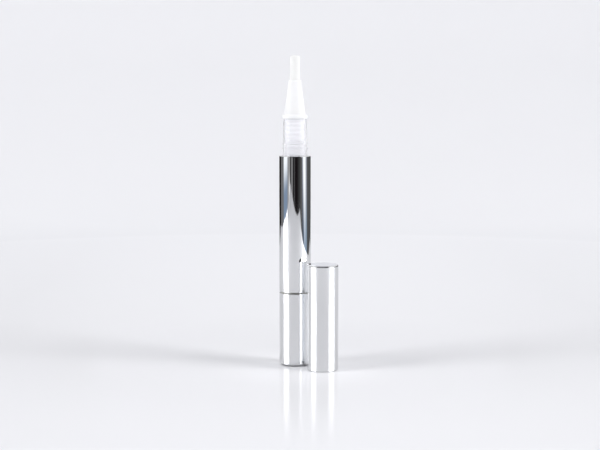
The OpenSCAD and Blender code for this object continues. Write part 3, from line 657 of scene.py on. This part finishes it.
def glowing(name, colours, low=0.0, high=1.0, again=None, even=None):
    """A glow that goes from the first colour at height low to the last at height high, in metres, and
    has a colour of its own for the rays that the table mirrors a second time. Nearer than even it
    lights things no more than at that distance, so that the floor by a lamp doesn't burn out."""
    made, tree, surface, place = start_material(name)
    if again or even:
        ray = add_node(tree, "ShaderNodeLightPath")
        second = add_node(tree, "ShaderNodeMath", {0: ray.outputs["Ray Depth"], 1: 1.5},
                          operation="GREATER_THAN")
    shown = colours[0]
    if len(colours) > 1:
        split = add_node(tree, "ShaderNodeSeparateXYZ", {"Vector": place})
        height = add_node(tree, "ShaderNodeMapRange", {
            "Value": split.outputs["Z"], "From Min": low, "From Max": high},
            interpolation_type="SMOOTHSTEP")
        shown = add_node(tree, "ShaderNodeMix", {"Factor": height.outputs["Result"], "A": colours[0],
                                                 "B": colours[1]}, data_type="RGBA").outputs["Result"]
    if again:
        shown = add_node(tree, "ShaderNodeMix", {"Factor": second.outputs[0], "A": shown, "B": again},
                         data_type="RGBA").outputs["Result"]
        made.cycles.emission_sampling = "NONE"
    glow = add_node(tree, "ShaderNodeEmission", {"Color": shown, "Strength": 1.0})
    if even:
        share = add_node(tree, "ShaderNodeMapRange", {"Value": ray.outputs["Ray Length"],
                                                      "From Max": even})
        square = add_node(tree, "ShaderNodeMath", {0: share.outputs["Result"], 1: 2.0},
                          operation="POWER")
        power = add_node(tree, "ShaderNodeMath", {0: square.outputs[0], 1: second.outputs[0]},
                         operation="MAXIMUM")
        tree.links.new(power.outputs[0], glow.inputs["Strength"])
    seen_through = add_node(tree, "ShaderNodeBsdfTransparent")
    side = add_node(tree, "ShaderNodeNewGeometry")
    one_sided = add_node(tree, "ShaderNodeMixShader", {0: side.outputs["Backfacing"],
                                                       1: glow.outputs["Emission"],
                                                       2: seen_through.outputs["BSDF"]})
    tree.links.new(one_sided.outputs["Shader"], surface)
    return made


def around(turn, distance):
    """The floor point at so many degrees right of the line from the pen to the camera."""
    return distance * math.sin(math.radians(turn)), -distance * math.cos(math.radians(turn))


def upright_sheet(name, ends, distance, low, high, material, top=None, **seen):
    """A flat upright sheet between two turns, which its top may have of its own. Its two ends may
    stand at distances of their own. The camera doesn't see it."""
    bm = bmesh.new()
    far = distance if isinstance(distance, tuple) else (distance, distance)
    corners = [(*around(ends[i], far[i]), low) for i in (1, 0)]
    corners += [(*around((top or ends)[i], far[i]), high) for i in (0, 1)]
    bm.faces.new([bm.verts.new(corner) for corner in corners])
    return stage_mesh(bm, name, material, camera=False, transmission=False, **seen)


def grey(level, blue=1.0):
    """A neutral or bluish glow of this linear strength."""
    return [level, level, level * blue, 1.0]


front = glowing("soft_box_front", [grey(FRONT_LIGHT)], again=grey(FRONT_LIGHT_AGAIN))
for name, front_ends, cloth_ends, level in SOFT_BOXES:
    cloth = glowing("soft_box_cloth_" + name, [grey(level)], even=CLOTH_EVEN)
    upright_sheet("soft_box_" + name, cloth_ends, BOX_FAR, BOX_LOW, BOX_TOP, cloth, glossy=False)
    upright_sheet("soft_box_front_" + name, front_ends, FRONT_FAR, BOX_LOW, BOX_TOP, front,
                  diffuse=False, shadow=False)

# Glow below the soft boxes. The cloth's foot and the stands' pale edges fade out towards the floor,
# and past the table's edge the metal sees them as the bluish ends of its bright lines. These sheets
# glow of themselves and light nothing: they are painted reflections of the cloth and the stands.
LOW_GLOW_Z = -0.12

# Each row has the turns of a sheet's ends, those of its top, its distance, the colours at its low
# and its high height, those heights, and what the table mirrors of it a second time.
LOW_GLOWS = (
    ("foot_left", (-90, -56.5), None, (0.620, 0.743),
     ((0.22, 0.29, 0.40), (1.06, 1.10, 1.14)), (0.016, 0.050), grey(STRIP_LIGHT)),
    ("sliver_left", (-45, -37), None, 1.0,
     ((1.0, 1.0, 1.0), (0.36, 0.36, 0.36)), (-0.008, 0.020), None),
    ("foot_right", (80, 86), (59, 84), 0.6,
     ((0.28, 0.36, 0.48), (1.06, 1.08, 1.10)), (-0.035, 0.040), grey(STRIP_LIGHT)),
    ("edge_in_right", (60, 76), (53, 76), 0.61,
     ((0.06, 0.08, 0.12), (0.36, 0.38, 0.44)), (-0.02, 0.05), None),
    ("edge_out_right", (80, 99), (80, 97), 0.61,
     ((0.26, 0.33, 0.42), (0.34, 0.36, 0.40)), (-0.02, 0.03), None))
for name, ends, top, distance, colours, heights, again in LOW_GLOWS:
    glow = glowing(name + "_glow", [[*colour, 1.0] for colour in colours], *heights, again)
    upright_sheet(name, ends, distance, LOW_GLOW_Z, BOX_LOW, glow, top, diffuse=False, shadow=False)

# Screens and walls. Dim grey screens stand far off in the dark room, low down between the soft
# boxes, and a pale wall stands behind the pen on each side. Only the metal sees them. They glow of
# themselves and light nothing: they are painted reflections of the room.
ROOM_FAR = 1.1
SCREEN_Z = (-0.5, 0.036)
SCREENS = (("a", (-123, -90), 0.17), ("b", (-56.5, -45), 0.32), ("c", (-30, -15), 0.19),
           ("d", (-7, 0), 0.065), ("e", (20, 30), 0.03), ("f", (30, 38), 0.05),
           ("g", (38, 46), 0.08), ("h", (46, 57), 0.12), ("i", (98, 152), 0.082))
SCREEN_BLUE = 1.03
WALL_Z = (0.22, 1.6)
WALL_LIGHT = 0.72
for name, ends, level in SCREENS:
    upright_sheet("screen_" + name, ends, ROOM_FAR, *SCREEN_Z,
                  glowing("screen_" + name, [grey(level, SCREEN_BLUE)]), diffuse=False, shadow=False)
for name, ends in (("left", (-172, -98)), ("right", (98, 172))):
    upright_sheet("back_wall_" + name, ends, ROOM_FAR, *WALL_Z,
                  glowing("back_wall_" + name, [grey(WALL_LIGHT)]), diffuse=False, shadow=False)

# Overhead soft box. A wide cloth above and in front of the pen that lights the floor. The metal
# doesn't see it.
overhead = bpy.data.lights.new("overhead_soft_box", "AREA")
overhead.shape, overhead.size, overhead.size_y, overhead.energy = "RECTANGLE", 0.9, 0.9, 1.5
holder = bpy.data.objects.new("overhead_soft_box", overhead)
holder.location = (-0.1, -0.5, 1.0)
holder.visible_glossy = False
bpy.context.scene.collection.objects.link(holder)

# Room. Pale air lights everything evenly. A mirror sees instead the dark room past the lights, which
# is paler from a little above the horizon and paler still at the ceiling, unless a matt surface has
# already scattered the ray.
AIR_WHITE = "F4F5F8"
AIR_LIGHT = 0.68
GLOOM_LOW = "181416"
GLOOM_HIGH = "4E4E52"
CEILING_GREY = "ACACB0"
world = bpy.data.worlds.new("room")
bpy.context.scene.world = world
world.use_nodes = True
tree = world.node_tree
tree.nodes.clear()
ray = add_node(tree, "ShaderNodeLightPath")
mirror_ray = add_node(tree, "ShaderNodeMath", {0: ray.outputs["Is Reflection Ray"],
                                               1: ray.outputs["Is Glossy Ray"]}, operation="MULTIPLY")
unscattered = add_node(tree, "ShaderNodeMath", {0: ray.outputs["Diffuse Depth"], 1: 0.5},
                       operation="LESS_THAN")
in_mirror = add_node(tree, "ShaderNodeMath", {0: mirror_ray.outputs[0], 1: unscattered.outputs[0]},
                     operation="MULTIPLY")
air = add_node(tree, "ShaderNodeBackground", {"Color": linear(AIR_WHITE), "Strength": AIR_LIGHT})
sky = add_node(tree, "ShaderNodeTexCoord")
split = add_node(tree, "ShaderNodeSeparateXYZ", {"Vector": sky.outputs["Generated"]})
lift = add_node(tree, "ShaderNodeMapRange", {"Value": split.outputs["Z"], "From Min": 0.1,
                                             "From Max": 0.4})
gloom = add_node(tree, "ShaderNodeMix", {"Factor": lift.outputs["Result"], "A": linear(GLOOM_LOW),
                                         "B": linear(GLOOM_HIGH)}, data_type="RGBA")
ceiling_share = add_node(tree, "ShaderNodeMapRange", {"Value": split.outputs["Z"], "From Min": 0.6,
                                                      "From Max": 0.95})
room_tone = add_node(tree, "ShaderNodeMix", {"Factor": ceiling_share.outputs["Result"],
                                             "A": gloom.outputs["Result"],
                                             "B": linear(CEILING_GREY)}, data_type="RGBA")
dark = add_node(tree, "ShaderNodeBackground", {"Color": room_tone.outputs["Result"], "Strength": 1.0})
room = add_node(tree, "ShaderNodeMixShader", {0: in_mirror.outputs[0], 1: air.outputs[0],
                                              2: dark.outputs[0]})
add_node(tree, "ShaderNodeOutputWorld", {"Surface": room.outputs[0]})
bpy.context.scene.view_settings.view_transform = "Standard"
bpy.context.scene.cycles.max_bounces = 24
bpy.context.scene.cycles.diffuse_bounces = 12
bpy.context.scene.cycles.glossy_bounces = 12
bpy.context.scene.cycles.transmission_bounces = 16

# Camera. It stands a little right of the pen and looks slightly down at it from 0.47 m.
CAMERA_PLACE = (0.001902, -0.46561, 0.10106)
CAMERA_LENS = 73.58
LOOK_DOWN = 0.1011
camera = bpy.data.cameras.new("camera")
camera.sensor_width = 36
camera.lens = CAMERA_LENS
camera.clip_start, camera.clip_end = 0.01, 20
eye = bpy.data.objects.new("camera", camera)
eye.location = CAMERA_PLACE
eye.rotation_euler = (math.pi / 2 - LOOK_DOWN, 0, 0)
bpy.context.scene.collection.objects.link(eye)
bpy.context.scene.camera = eye

bpy.context.view_layer.update()
